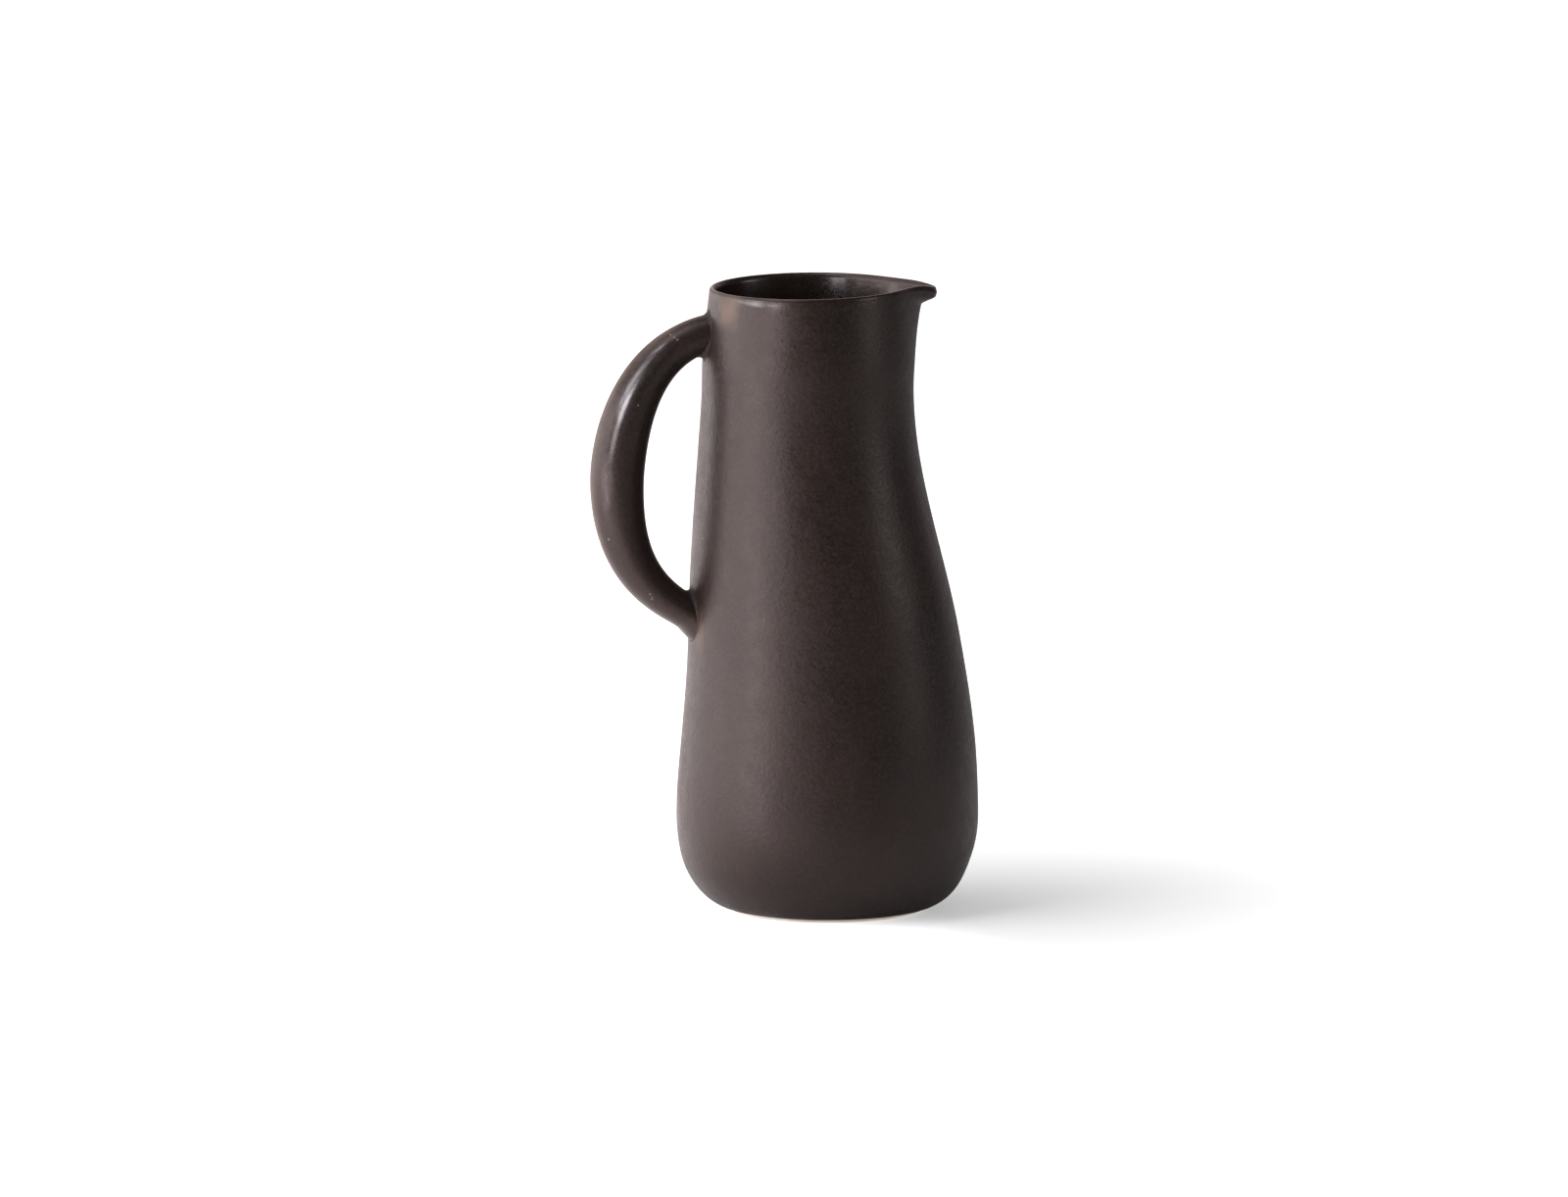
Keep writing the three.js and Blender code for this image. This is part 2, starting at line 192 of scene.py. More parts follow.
def wall_heights(rows, crowding):
    """Heights from the belly up to the lip, closer together toward the lip by a power."""
    return lerp(LIP_HEIGHT, BELLY_HEIGHT, (1 - np.arange(rows + 1) / rows) ** crowding)


def outer_radius(z):
    z = np.asarray(z, float)
    return np.where(z < BELLY_HEIGHT, heel_radius(z, HEEL_RADIUS, HEEL_LOW, BELLY_RADIUS), wall_radius(z))


def thickness(z):
    return lerp(WALL, LIP, smoothstep(z, SET_BACK_END, LIP_HEIGHT))


def axis_shift(z):
    """How far the wall's centre stands toward the spout: set back smoothly up the neck, with the
    slight leans that hands leave at the heel and the belly, as two bell curves of the height."""
    leans = sum(lean * bump(z, middle, spread) for lean, middle, spread in (HEEL_LEAN, BELLY_LEAN))
    return -NECK_SET_BACK * smoothstep(z, SET_BACK_START, SET_BACK_END) + leans


def pinch(angle, half_angle):
    """Share of the spout's reach at an angle from its middle: one plus the chord over the half
    angle, squared, to the power minus SPOUT_SHARPNESS."""
    return (1 + (2 - 2 * np.cos(angle)) / half_angle ** 2) ** -SPOUT_SHARPNESS


def spout_at(depth, face):
    """Reach of the throat, which dies away as a power of the depth below the rim, and of the beak,
    which stands out fully down to the face's own depth and ends at BEAK_DEPTH."""
    throat = THROAT_REACH * np.clip(1 - depth / THROAT_DEPTH, 0, 1) ** THROAT_FADE
    beak = BEAK_REACH * (1 - smoothstep(depth, face, BEAK_DEPTH))
    return throat, beak


def wall_rows(radius, offset, z, throat, beak):
    """Points round the wall, one row per height: a circle drawn out at the spout by throat and beak,
    moved outward square to itself by the offset, on a centre that follows axis_shift. The steps
    crowd toward the spout by a sine of the angle. The rim falls toward the handle and the beak
    dips, and both die away below it."""
    even = TURN * np.arange(BODY_STEPS) / BODY_STEPS
    angle = (even - SPOUT_CROWDING * np.sin(even))[None, :]

    def reach(a):
        return radius + throat * pinch(a, THROAT_HALF_ANGLE) + beak * pinch(a, BEAK_HALF_ANGLE)

    nudge = 0.001
    out = reach(angle)
    slope = (reach(angle + nudge) - reach(angle - nudge)) / (2 * nudge)
    length = np.hypot(out, slope)
    radial, sideways = out / length, -slope / length
    normal_x = radial * np.cos(angle) - sideways * np.sin(angle)
    normal_y = radial * np.sin(angle) + sideways * np.cos(angle)
    settle = 1 - smoothstep(JUG_HEIGHT - z, 0, RIM_FALL_DEPTH)
    fall = RIM_FALL * (1 - np.cos(angle)) / 2 + BEAK_DIP * pinch(angle, BEAK_HALF_ANGLE)
    return np.stack([
        axis_shift(z) + out * np.cos(angle) + offset * normal_x,
        out * np.sin(angle) + offset * normal_y,
        z - fall * settle + 0 * angle,
    ], axis=-1), angle + 0 * z


# Meshes

def make_piece(name, rows, node, material, wrap=False, marks=None):
    """Closed skin over a grid of points, rows by steps. The steps run round each row, and the first
    and last rows are closed with a fan to their middle, or joined to each other when wrap is set.
    Marks are numbers per point that the finish reads by name."""
    count, steps = rows.shape[:2]
    index = np.arange(count * steps).reshape(count, steps)
    low = index if wrap else index[:-1]
    high = np.roll(index, -1, axis=0) if wrap else index[1:]
    beside_low, beside_high = np.roll(low, -1, axis=1), np.roll(high, -1, axis=1)
    quads = np.stack([low, beside_low, beside_high, high], axis=-1).reshape(-1, 4)
    points = rows.reshape(-1, 3)
    faces = quads.tolist()
    if not wrap:
        points = np.vstack([points, rows[0].mean(0), rows[-1].mean(0)])
        start, end = count * steps, count * steps + 1
        first, last = index[0], index[-1]
        faces += [[start, b, a] for a, b in zip(first.tolist(), np.roll(first, -1).tolist())]
        faces += [[end, a, b] for a, b in zip(last.tolist(), np.roll(last, -1).tolist())]
    mesh = bpy.data.meshes.new(name)
    mesh.from_pydata(((points + [FOOT_AXIS, 0, 0]) * MM).tolist(), [], faces)
    mesh.polygons.foreach_set("use_smooth", np.ones(len(mesh.polygons), bool))
    for mark, values in (marks or {}).items():
        full = np.zeros(len(mesh.vertices), np.float32)
        full[:count * steps] = np.broadcast_to(values, (count, steps)).reshape(-1)
        mesh.attributes.new(mark, "FLOAT", "POINT").data.foreach_set("value", full)
    mesh.materials.append(material)
    mesh.update()
    piece = bpy.data.objects.new(name, mesh)
    bpy.context.scene.collection.objects.link(piece)
    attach(piece, "root")
    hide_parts(node)
    return piece


# Finishes

class Signal:
    """A number that varies over a surface. Python's operators on it add their Math nodes."""

    def __init__(self, tree, socket):
        self.tree, self.socket = tree, socket

    def math(self, operation, *values):
        return self.tree.node("ShaderNodeMath", {"operation": operation}, dict(enumerate(values)))

    def __add__(self, other):
        return self.math("ADD", self, other)

    def __sub__(self, other):
        return self.math("SUBTRACT", self, other)

    def __rsub__(self, other):
        return self.math("SUBTRACT", other, self)

    def __mul__(self, other):
        return self.math("MULTIPLY", self, other)

    def __truediv__(self, other):
        return self.math("DIVIDE", self, other)

    def __pow__(self, other):
        return self.math("POWER", self, other)

    __radd__ = __add__
    __rmul__ = __mul__

    def between(self, low, high):
        """Zero at low, one at high, smooth in between."""
        return self.tree.node("ShaderNodeMapRange", {"interpolation_type": "SMOOTHSTEP"},
                              {"Value": self, "From Min": low, "From Max": high})


class Tree:
    """A node tree that is filled by node(), the one way a node is made."""

    def __init__(self, tree):
        self.tree = tree
        tree.nodes.clear()

    def node(self, kind, settings=None, inputs=None, output=0):
        made = self.tree.nodes.new(kind)
        for name, value in (settings or {}).items():
            setattr(made, name, value)
        for name, value in (inputs or {}).items():
            socket = made.inputs[name]
            if isinstance(value, Signal):
                self.tree.links.new(value.socket, socket)
            elif hasattr(socket.default_value, "__len__") and len(value) < len(socket.default_value):
                socket.default_value = (*value, 1)
            else:
                socket.default_value = value
        return Signal(self, made.outputs[output]) if made.outputs else None

    def place(self):
        """Object coordinates, in metres."""
        return self.node("ShaderNodeTexCoord", output="Object")

    def mark(self, name):
        """Number that make_piece laid on the points under this name."""
        return self.node("ShaderNodeAttribute", {"attribute_name": name}, output="Fac")

    def mix(self, share, first, second):
        """Colour that goes from the first to the second with the share."""
        return self.node("ShaderNodeMix", {"data_type": "RGBA"}, {0: share, 6: first, 7: second}, 2)

    def noise(self, place, grain, detail=2.0, roughness=0.5, distortion=0.0):
        """Soft noise whose blobs are about one grain across, in millimetres."""
        return self.node("ShaderNodeTexNoise", {}, {
            "Vector": place, "Scale": 1 / grain, "Detail": detail, "Roughness": roughness,
            "Distortion": distortion})

    def vector(self, operation, *values, output="Vector"):
        return self.node("ShaderNodeVectorMath", {"operation": operation}, dict(enumerate(values)), output)

    def stretch(self, place, factors):
        return self.vector("MULTIPLY", place, factors)

    def dot(self, place, direction):
        return self.vector("DOT_PRODUCT", place, tuple(direction), output="Value")

    def distance(self, place, point):
        return self.vector("DISTANCE", place, point, output="Value")

    def ragged(self, place, grain, reach):
        """Place pushed to and fro by up to half the reach, for edges that wander."""
        wander = self.node("ShaderNodeTexNoise", {}, {"Vector": place, "Scale": 1 / grain}, "Color")
        pushed = self.vector("MULTIPLY_ADD", wander, (reach,) * 3, place)
        return self.vector("SUBTRACT", pushed, (reach / 2,) * 3)

    def relief(self, height, strength):
        """Normal of a surface whose height, from zero to one, stands for BUMP_RELIEF."""
        return self.node("ShaderNodeBump", {}, {
            "Strength": strength, "Distance": BUMP_RELIEF * MM, "Height": height})

    def surface(self, shader):
        self.node("ShaderNodeOutputMaterial", {}, {"Surface": shader})


def linear(red, green, blue):
    """Shader colour of an 8-bit screen colour."""
    return tuple(c / 12.92 if c <= 0.04045 else ((c + 0.055) / 1.055) ** 2.4
                 for c in (red / 255, green / 255, blue / 255))


def new_material(name):
    """Material with an empty tree, and places in millimetres to lay patterns on."""
    material = bpy.data.materials.new(name)
    material.use_nodes = True
    tree = Tree(material.node_tree)
    return material, tree, tree.stretch(tree.place(), (1 / MM,) * 3)


# Sizes of the patterns in the finishes, and the height that a bump stands for.
CLOUD_SIZE, DRIFT_SIZE, DRIFT_STRETCH, MOTTLE_SIZE = 42, 17, (1, 1, 0.45), 7
GRAIN_SIZE, PEEL_SIZE, FROST_SIZE, BREAK_SIZE = 1.5, 2.0, 0.7, 5
SPECKS_PER_MM, SPECK = 0.42, (0.05, 0.16)
RUB_GRAIN, RUB_REACH = 0.5, 1.1
SAND_SIZE, CREAM_SIZE, FLASH_HEIGHT = 0.7, 11, (1.0, 1.5)
BUMP_RELIEF = 0.15

GLAZE = linear(31, 23, 21)
GLAZE_WARM = linear(43, 32, 26)
GLAZE_DEEP = linear(21, 16, 16)
GLAZE_THIN = linear(122, 96, 77)
GLAZE_FROST = linear(51, 41, 37)
GLAZE_OLIVE, GLAZE_VIOLET = linear(32, 26, 18), linear(35, 22, 26)
# Pale of rubbed glaze, and also the painted highlight along the lip's crest.
IRON = linear(15, 12, 11)
WORN_AND_HIGHLIGHT = linear(176, 160, 148)
TAN = linear(98, 77, 62)
GLOSS_TINT = (1, 0.85, 0.83)
GLAZE_IOR, COAT_IOR, COAT_ROUGHNESS = 1.5, 2.1, 0.2

CLAY, CLAY_CREAM = linear(253, 243, 232), linear(250, 234, 219)
CLAY_FLASH = linear(206, 150, 108)
CLAY_SAND = linear(150, 120, 98)
CLAY_GLOW = 0.3

# Where use has rubbed and chipped the glaze: the middle of each place, from the frame's origin in
# millimetres, and its radius.
RUBS = (
    ((-49.9, -4.7, 250.7), 0.7), ((-48.5, -6.5, 249.7), 0.6), ((-47.4, -7.3, 248.9), 0.8),
    ((-65.0, -10.1, 221.4), 0.7), ((-77.4, -7.9, 163.4), 0.8),
    ((-59.9, -10.1, 139.5), 0.7), ((-59.0, -9.9, 138.2), 0.5), ((-59.0, -9.5, 137.3), 0.8),
    ((-37.3, -12.2, 163.4), 0.7), ((-45.3, -4.5, 37.2), 0.8), ((-28.1, -22.3, 5.9), 0.8),
)
# Where the kiln has flashed it tan: a middle, a radius, how the patch is stretched in height as one
# over this number, and strength.
FLASHES = (((-28.8, -20.5, 263.5), 8, 1, 0.75), ((-38.7, -13, 122), 4, 0.4, 0.3))


def glaze_ground(tree, place, clouds, drift, mottle, grain):
    """Colour of the glaze where it lies evenly: warm clouds and deep drifts over the plain brown, an
    olive and violet mottle, and fine frost in the grain."""
    colour = tree.mix(clouds * 0.75, GLAZE, GLAZE_WARM)
    colour = tree.mix(drift * 0.45, colour, GLAZE_DEEP)
    colour = tree.mix(0.35, colour, tree.mix(mottle, GLAZE_OLIVE, GLAZE_VIOLET))
    return tree.mix(grain.between(0.44, 0.68) * 0.5, colour, GLAZE_FROST)


def with_flashes_and_rubs(tree, place, clouds, colour):
    """The colour with a soft tan patch round each middle in FLASHES, whose edge the clouds push
    about, and a small ragged pale one round each middle in RUBS."""
    for (x, y, z), radius, height, strength in FLASHES:
        near = tree.distance(tree.stretch(place, (1, 1, height)), (x, y, z * height)) / radius
        patch = (1 - near + 0.9 * (clouds - 0.4)).between(0.0, 1.1)
        colour = tree.mix(patch * strength, colour, TAN)
    ragged = tree.ragged(place, RUB_GRAIN, RUB_REACH)
    for middle, radius in RUBS:
        chip = (1 - tree.distance(ragged, middle) / radius).between(0.15, 0.75)
        colour = tree.mix(chip * 0.45, colour, WORN_AND_HIGHLIGHT)
    return colour


def glaze_finish():
    """Satin dark brown glaze. Iron specks sit in it, away from where hands have polished it. It
    breaks to a lighter brown where it runs thin on an edge, and along the lip's crest that pale line is
    also a painted highlight. It darkens where it has pooled, which in the lutings' crevices is also
    painted shade, and is glossier where it is polished."""
    material, tree, place = new_material("dark_glaze")
    thin, pooled, polish = (tree.mark(name) for name in ("thin", "pooled", "polish"))
    clouds = tree.noise(place, CLOUD_SIZE, 3, 0.55, 0.4).between(0.36, 0.64)
    drift = tree.noise(tree.stretch(place, DRIFT_STRETCH), DRIFT_SIZE, 3).between(0.34, 0.7)
    mottle = tree.noise(place, MOTTLE_SIZE, 3, 0.6).between(0.4, 0.6)
    grain = tree.noise(place, GRAIN_SIZE, 3, 0.75)

    colour = glaze_ground(tree, place, clouds, drift, mottle, grain)
    to_speck = tree.node("ShaderNodeTexVoronoi", {}, {"Vector": place, "Scale": SPECKS_PER_MM})
    specks = 1 - to_speck.between(*SPECK)
    colour = tree.mix(specks * drift * 0.6 * (1 - polish) ** 3, colour, IRON)
    # Along the lip's crest these pale mixes are thin glaze and also a painted highlight.
    breaking = (thin * (0.7 + 0.6 * tree.noise(place, BREAK_SIZE, 2))).between(0.25, 1.0)
    colour = tree.mix(breaking * 0.9, colour, GLAZE_THIN)
    colour = tree.mix(thin.between(0.5, 1) * 0.9, colour, WORN_AND_HIGHLIGHT)
    # Pooled glaze, darkest in the lutings' crevices, where the darkening is also painted shade.
    colour = tree.mix(pooled * 0.8, colour, GLAZE_DEEP)
    colour = with_flashes_and_rubs(tree, place, clouds, colour)

    satin = 0.38 + 0.05 * (mottle - 0.5) + 0.36 * (grain - 0.5) * (1 - polish) + 0.03 * clouds
    satin = satin - 0.17 * polish + 0.25 * pooled
    orange_peel = tree.noise(place, PEEL_SIZE, 2, 0.55)
    frost = tree.noise(place, FROST_SIZE, 2, 0.6)
    height = orange_peel * (1 - 0.55 * polish) + frost * 0.2 * (1 - 0.6 * polish)
    tree.surface(tree.node("ShaderNodeBsdfPrincipled", {}, {
        "Base Color": colour, "Roughness": satin, "Normal": tree.relief(height, 0.9),
        "IOR": GLAZE_IOR, "Specular Tint": GLOSS_TINT,
        "Coat Weight": (polish * (0.5 + drift)).between(0.35, 0.9) * 0.95,
        "Coat Roughness": COAT_ROUGHNESS, "Coat IOR": COAT_IOR}))
    return material


def clay_finish():
    """Bare fired clay, cream with sand in it and a flash of orange next to the glaze. A faint glow
    stands for the light that the white floor throws up under the heel."""
    material, tree, place = new_material("bare_clay")
    sand = tree.noise(place, SAND_SIZE, 3, 0.7)
    clouds = tree.noise(place, CREAM_SIZE, 2).between(0.35, 0.65)
    height = tree.node("ShaderNodeSeparateXYZ", {}, {"Vector": place}, "Z")
    colour = tree.mix(clouds, CLAY, CLAY_CREAM)
    colour = tree.mix(height.between(*FLASH_HEIGHT) * 0.6, colour, CLAY_FLASH)
    colour = tree.mix(sand.between(0.6, 0.78) * 0.5, colour, CLAY_SAND)
    tree.surface(tree.node("ShaderNodeBsdfPrincipled", {}, {
        "Base Color": colour, "Roughness": 0.85 + 0.1 * (sand - 0.5), "Normal": tree.relief(sand, 0.5),
        "Emission Color": colour, "Emission Strength": CLAY_GLOW}))
    return material


dark_glaze = glaze_finish()
bare_clay = clay_finish()


# Thrown body

UNDERSIDE, OUTSIDE, OVER_LIP, INSIDE, FLOOR = range(5)


def section(part, radius, z, offset=0.0, throat=0.0, beak=0.0):
    """One stretch of the body's profile, as columns of the same length."""
    columns = (radius, offset, z, throat, beak, part)
    return np.broadcast_arrays(*(np.asarray(column, float) for column in columns))


def underside_section():
    """Shallow dome with tool lines, a cosine of the radius that dies away outward, and then the
    rebate that the foot is seated in."""
    share = np.linspace(0.05, 1, DOME_ROWS)
    radius = DOME_RADIUS * share
    z = (FOOT_HEIGHT + DOME_RISE * (1 - share ** 2)
         + TOOL_LINE * np.cos(radius * TURN / TOOL_LINE_SPACING) * (1 - share))
    seat = FOOT_RADIUS + FOOT_CLEARANCE
    seat_radius = [SEAT_START, SEAT_MIDDLE, seat - SEAT_BEVEL, seat, seat]
    seat_z = [FOOT_HEIGHT, FOOT_HEIGHT, FOOT_HEIGHT, FOOT_HEIGHT - SEAT_BEVEL, BARE_BAND + SEAT_OVERLAP]
    return section(UNDERSIDE, np.concatenate([radius, seat_radius]), np.concatenate([z, seat_z]))


def heel_section():
    z = heel_heights(np.arange(HEEL_ROWS) / HEEL_ROWS, BARE_BAND)
    return section(OUTSIDE, heel_radius(z, HEEL_RADIUS, HEEL_LOW, BELLY_RADIUS), z)


def outside_section():
    z = wall_heights(OUTSIDE_ROWS, OUTSIDE_CROWDING)
    wall = thickness(z)
    return section(OUTSIDE, outer_radius(z) - wall, z, wall, *spout_at(JUG_HEIGHT - z, BEAK_THICKNESS))


def lip_section():
    """Half circle over the lip, along which throat and beak run from the outer to the inner face's."""
    out = math.pi * np.arange(1, LIP_ROWS) / LIP_ROWS
    share = (1 + np.cos(out)) / 2
    outside, inside = spout_at(LIP / 2, BEAK_THICKNESS), spout_at(LIP / 2, 0)
    throat, beak = (lerp(inner, outer, share) for inner, outer in zip(inside, outside))
    return section(OVER_LIP, RIM_RADIUS - LIP, LIP_HEIGHT + LIP / 2 * np.sin(out), LIP * share, throat, beak)


def inside_section():
    z = wall_heights(INSIDE_ROWS, INSIDE_CROWDING)[::-1]
    throat, beak = spout_at(JUG_HEIGHT - z, 0)
    return section(INSIDE, outer_radius(z) - thickness(z), z, 0, throat, beak)


def inner_heel_section():
    z = heel_heights(np.arange(INNER_HEEL_ROWS)[:0:-1] / INNER_HEEL_ROWS, FLOOR_HEIGHT)
    return section(INSIDE, heel_radius(z, FLOOR_RADIUS, FLOOR_HEIGHT, BELLY_RADIUS - WALL), z)


def floor_section():
    return section(FLOOR, FLOOR_RADIUS * np.linspace(1, 0.03, FLOOR_ROWS), FLOOR_HEIGHT)


def body_columns():
    """The body from the middle of its underside, out to the foot's rebate, up the outside, over the
    lip, down the inside and in to the middle of the floor. Radius, offset, height, throat, beak and
    part are one column each, with a row per height."""
    sections = (underside_section(), heel_section(), outside_section(), lip_section(), inside_section(),
                inner_heel_section(), floor_section())
    return (np.concatenate(column)[:, None] for column in zip(*sections))


def throwing_push(part, z, angle, inner_side):
    """How far throwing has moved the wall outward: the inner edge flares at the rim, by the square
    of the height above FLARE_DEPTH; a spiral ridge, a cosine of angle and height, stands in from the
    inside; and a slow waver, the sum of two sines of angle and height, runs over the outside but
    not at the foot, the belly's widest place or the rim."""
    below_rim = JUG_HEIGHT - z
    spiral = 0.5 + 0.5 * np.cos(TURN * z / RIDGE_SPACING + angle)
    ridge = RIDGE * smoothstep(below_rim, *RIDGE_FADE) * (part == INSIDE) * spiral
    waver = WAVER * (np.sin(2 * angle + z / WAVER_RISE) + np.sin(3 * angle - z / WAVER_FALL) - 2)
    waver = waver * smoothstep(z, *WAVER_LOW_FADE) * smoothstep(below_rim, *WAVER_TOP_FADE)
    waver = waver * (part == OUTSIDE) * (1 - bump(z, BELLY_HEIGHT, WAVER_BELLY_GAP))
    rise = np.clip(1 - below_rim / FLARE_DEPTH, 0, 1)
    flare = (FLARE + FLARE_AT_SPOUT * np.cos(angle)) * rise ** 2 * inner_side
    return waver - ridge + flare


def floor_swirl(radius, angle):
    """Height of the spiral ridge on the floor, a cosine of radius and angle, which dies away at the
    middle and at the edge."""
    fade = smoothstep(radius, *FLOOR_RIDGE_START) * (1 - smoothstep(radius, *FLOOR_RIDGE_END))
    return FLOOR_RIDGE * fade * (0.5 + 0.5 * np.cos(TURN * radius / FLOOR_RIDGE_SPACING + angle))


def body_wear(part, z, angle, across, outer_side):
    """How thin the glaze is, in a line along the lip, whose pale crest is also a painted highlight,
    and at its edge over the foot, and how hands have polished it: a little over the rim, more inside
    the neck, where the back catches most, and most just under the lip at the front left."""
    lip_thin_and_highlight = bump(across, *LIP_THIN_AND_HIGHLIGHT) * (part == OVER_LIP)
    foot_line = 0.5 * bump(z, BARE_BAND, FOOT_LINE_SPREAD) * (part == OUTSIDE)
    rim = smoothstep(z, *RIM_POLISH_FADE) * (part <= OVER_LIP)
    sipped = bump(angle, *SIPPED_ANGLE) * bump(z, *SIPPED_HEIGHT) * outer_side
    inside = smoothstep(z, *INSIDE_POLISH_FADE) * (part == INSIDE)
    back = INSIDE_POLISH + BACK_POLISH * bump(angle, *BACK_ANGLE)
    polish = RIM_POLISH * rim + SIPPED_POLISH * sipped + back * inside
    return {"thin": np.clip(lip_thin_and_highlight + foot_line, 0, 1), "pooled": 0.0, "polish": polish}


def thrown_body():
    """Body with the marks of throwing, a soft roll of glaze above the bare foot, and a beak whose
    underside droops."""
    radius, offset, z, throat, beak, part = body_columns()
    roll = ROLL * bump(z, BARE_BAND + ROLL_RISE, ROLL_SPREAD) * (part == OUTSIDE)
    rows, angle = wall_rows(radius, offset + roll, z, throat, beak)

    across = offset / LIP
    outer_side = np.where(part == OVER_LIP, across, part == OUTSIDE)
    inner_side = np.where(part == OVER_LIP, 1 - across, part == INSIDE)
    droop = BEAK_DROOP * pinch(angle, BEAK_HALF_ANGLE) ** 2 * outer_side
    rows[..., 2] -= droop * (1 - smoothstep(JUG_HEIGHT - z, DROOP_START, DROOP_END))
    push = throwing_push(part, z, angle, inner_side) / np.maximum(radius, 1)
    centre = axis_shift(z)
    rows[..., 0] = centre + (rows[..., 0] - centre) * (1 + push)
    rows[..., 1] = rows[..., 1] * (1 + push)
    rows[..., 2] += (part == FLOOR) * floor_swirl(radius, angle)
    marks = body_wear(part, z, angle, across, outer_side)
    return make_piece("thrown_body", rows, "jug_body", dark_glaze, marks=marks)


# Handle and its luting

def loop_line():
    """Centre line of the loop in its own plane, as points along it: a straight length out of the
    neck, a cubic Bezier to the widest place, another down to the belly, and a straight length in."""
    def wall_at(z):
        return float(axis_shift(z) - outer_radius(z))

    top = np.array([wall_at(TOP_HEIGHT), TOP_HEIGHT])
    bottom = np.array([wall_at(BOTTOM_HEIGHT), BOTTOM_HEIGHT])
    outward = np.array([-math.cos(TOP_PITCH), -math.sin(TOP_PITCH)])
    inward = np.array([math.cos(BOTTOM_PITCH), -math.sin(BOTTOM_PITCH)])
    widest = np.array([-REACH, REACH_HEIGHT])
    t = np.linspace(0, 1, LOOP_ROWS)[:, None]

    def bezier(a, b, c, d):
        return a * (1 - t) ** 3 + 3 * b * t * (1 - t) ** 2 + 3 * c * t * t * (1 - t) + d * t ** 3

    return np.vstack([
        lerp(top - SINK * outward, top, t)[:-1],
        bezier(top, top + TOP_RUN * outward, widest + [0, UPPER_BULGE], widest)[:-1],
        bezier(widest, widest - [0, LOWER_BULGE], bottom - BOTTOM_RUN * inward, bottom)[:-1],
        lerp(bottom, bottom + SINK * inward, t),
    ])


LOOP = loop_line()
LOOP_PLACE = np.concatenate([[0], np.cumsum(np.hypot(*np.diff(LOOP, axis=0).T))])
LOOP_LENGTH = LOOP_PLACE[-1]
LOOP_HEADING = np.gradient(LOOP, LOOP_PLACE, axis=0)


def handle_skin(share, angle):
    """Point and outward normal of the handle at a share of its length and an angle round it: an oval
    whose half sizes run from the top's to the bottom's, plus a swell, the sine of the share times
    pi, to the power GRIP_FULLNESS."""
    share, angle = np.broadcast_arrays(share, angle)
    place = share * LOOP_LENGTH
    x, z = (np.interp(place, LOOP_PLACE, LOOP[:, i]) for i in (0, 1))
    along_x, along_z = (np.interp(place, LOOP_PLACE, LOOP_HEADING[:, i]) for i in (0, 1))
    length = np.hypot(along_x, along_z)
    across_x, across_z = along_z / length, -along_x / length
    run = np.clip((place - SINK) / (LOOP_LENGTH - 2 * SINK), 0, 1)
    swell = np.sin(math.pi * run) ** GRIP_FULLNESS

    def size(top, bottom, grip):
        return (lerp(top, bottom, run) + (grip - (top + bottom) / 2) * swell) / 2

    thick = size(TOP_THICKNESS, BOTTOM_THICKNESS, GRIP_THICKNESS)
    wide = size(TOP_WIDTH, BOTTOM_WIDTH, GRIP_WIDTH)
    point = np.stack([x + across_x * thick * np.cos(angle), wide * np.sin(angle),
                      z + across_z * thick * np.cos(angle)], axis=-1)
    normal = np.stack([across_x * np.cos(angle) / thick, np.sin(angle) / wide,
                       across_z * np.cos(angle) / thick], axis=-1)
    return point, unit(normal)


def wall_distance(point):
    """Distance from the wall's outside, level with the point."""
    x, y, z = np.moveaxis(point, -1, 0)
    return np.hypot(x - axis_shift(z), y) - outer_radius(z)


def wall_normal(point):
    nudge = 0.01
    change = [wall_distance(point + step) - wall_distance(point - step) for step in nudge * np.eye(3)]
    return unit(np.stack(change, axis=-1))


def share_at_wall(angle, distance, end):
    """Share of the handle's length where its skin stands at a distance from the wall, found by
    halving between the handle's end and its middle."""
    near, far = np.full(angle.shape, float(end)), np.full(angle.shape, 0.5)
    for _ in range(HALVINGS):
        share = (near + far) / 2
        inside = wall_distance(handle_skin(share, angle)[0]) < distance
        near, far = np.where(inside, share, near), np.where(inside, far, share)
    return (near + far) / 2


def handle_wear(share, angle):
    """The glaze runs thin along the outer edge, by the cube of the cosine round it, and a ridge that
    faces out and sideways is rubbed glossy: a bell curve round the handle, which begins clear of the
    neck and fades down its lower half."""
    outer = np.clip(np.cos(angle), 0, 1) ** 3
    around = np.abs((angle + math.pi) % TURN - math.pi)
    rubbed = bump(around, *RUBBED_ANGLE) * (1 - 0.85 * smoothstep(share, *RUBBED_FADE))
    return {"thin": 0.5 * outer, "pooled": 0.0, "polish": rubbed * smoothstep(share, *RUBBED_START)}


def pulled_handle():
    """Handle trimmed to the wall: at each angle it runs from where its skin enters the neck to where
    it enters the belly, and its rows gather at both ends. A slight waver, a sine of the angle and
    the share, stands in from the skin, but not at the ends or the widest place."""
    angle = TURN * np.arange(HANDLE_STEPS) / HANDLE_STEPS
    t = np.linspace(0, 1, HANDLE_ROWS)[:, None]
    t = t - HANDLE_CROWDING * np.sin(TURN * t) / TURN
    share = lerp(share_at_wall(angle, -HANDLE_INSET, 0), share_at_wall(angle, -HANDLE_INSET, 1), t)
    rows, normal = handle_skin(share, angle)
    waver = -HANDLE_WAVER * (1 + np.sin(3 * angle + 9 * share))
    waver = waver * smoothstep(np.minimum(t, 1 - t), 0.02, 0.1) * (1 - bump(share, 0.5, 0.2))
    rows = rows + normal * waver[..., None]
    return make_piece("pulled_handle", rows, "loop_handle", dark_glaze, marks=handle_wear(share, angle))


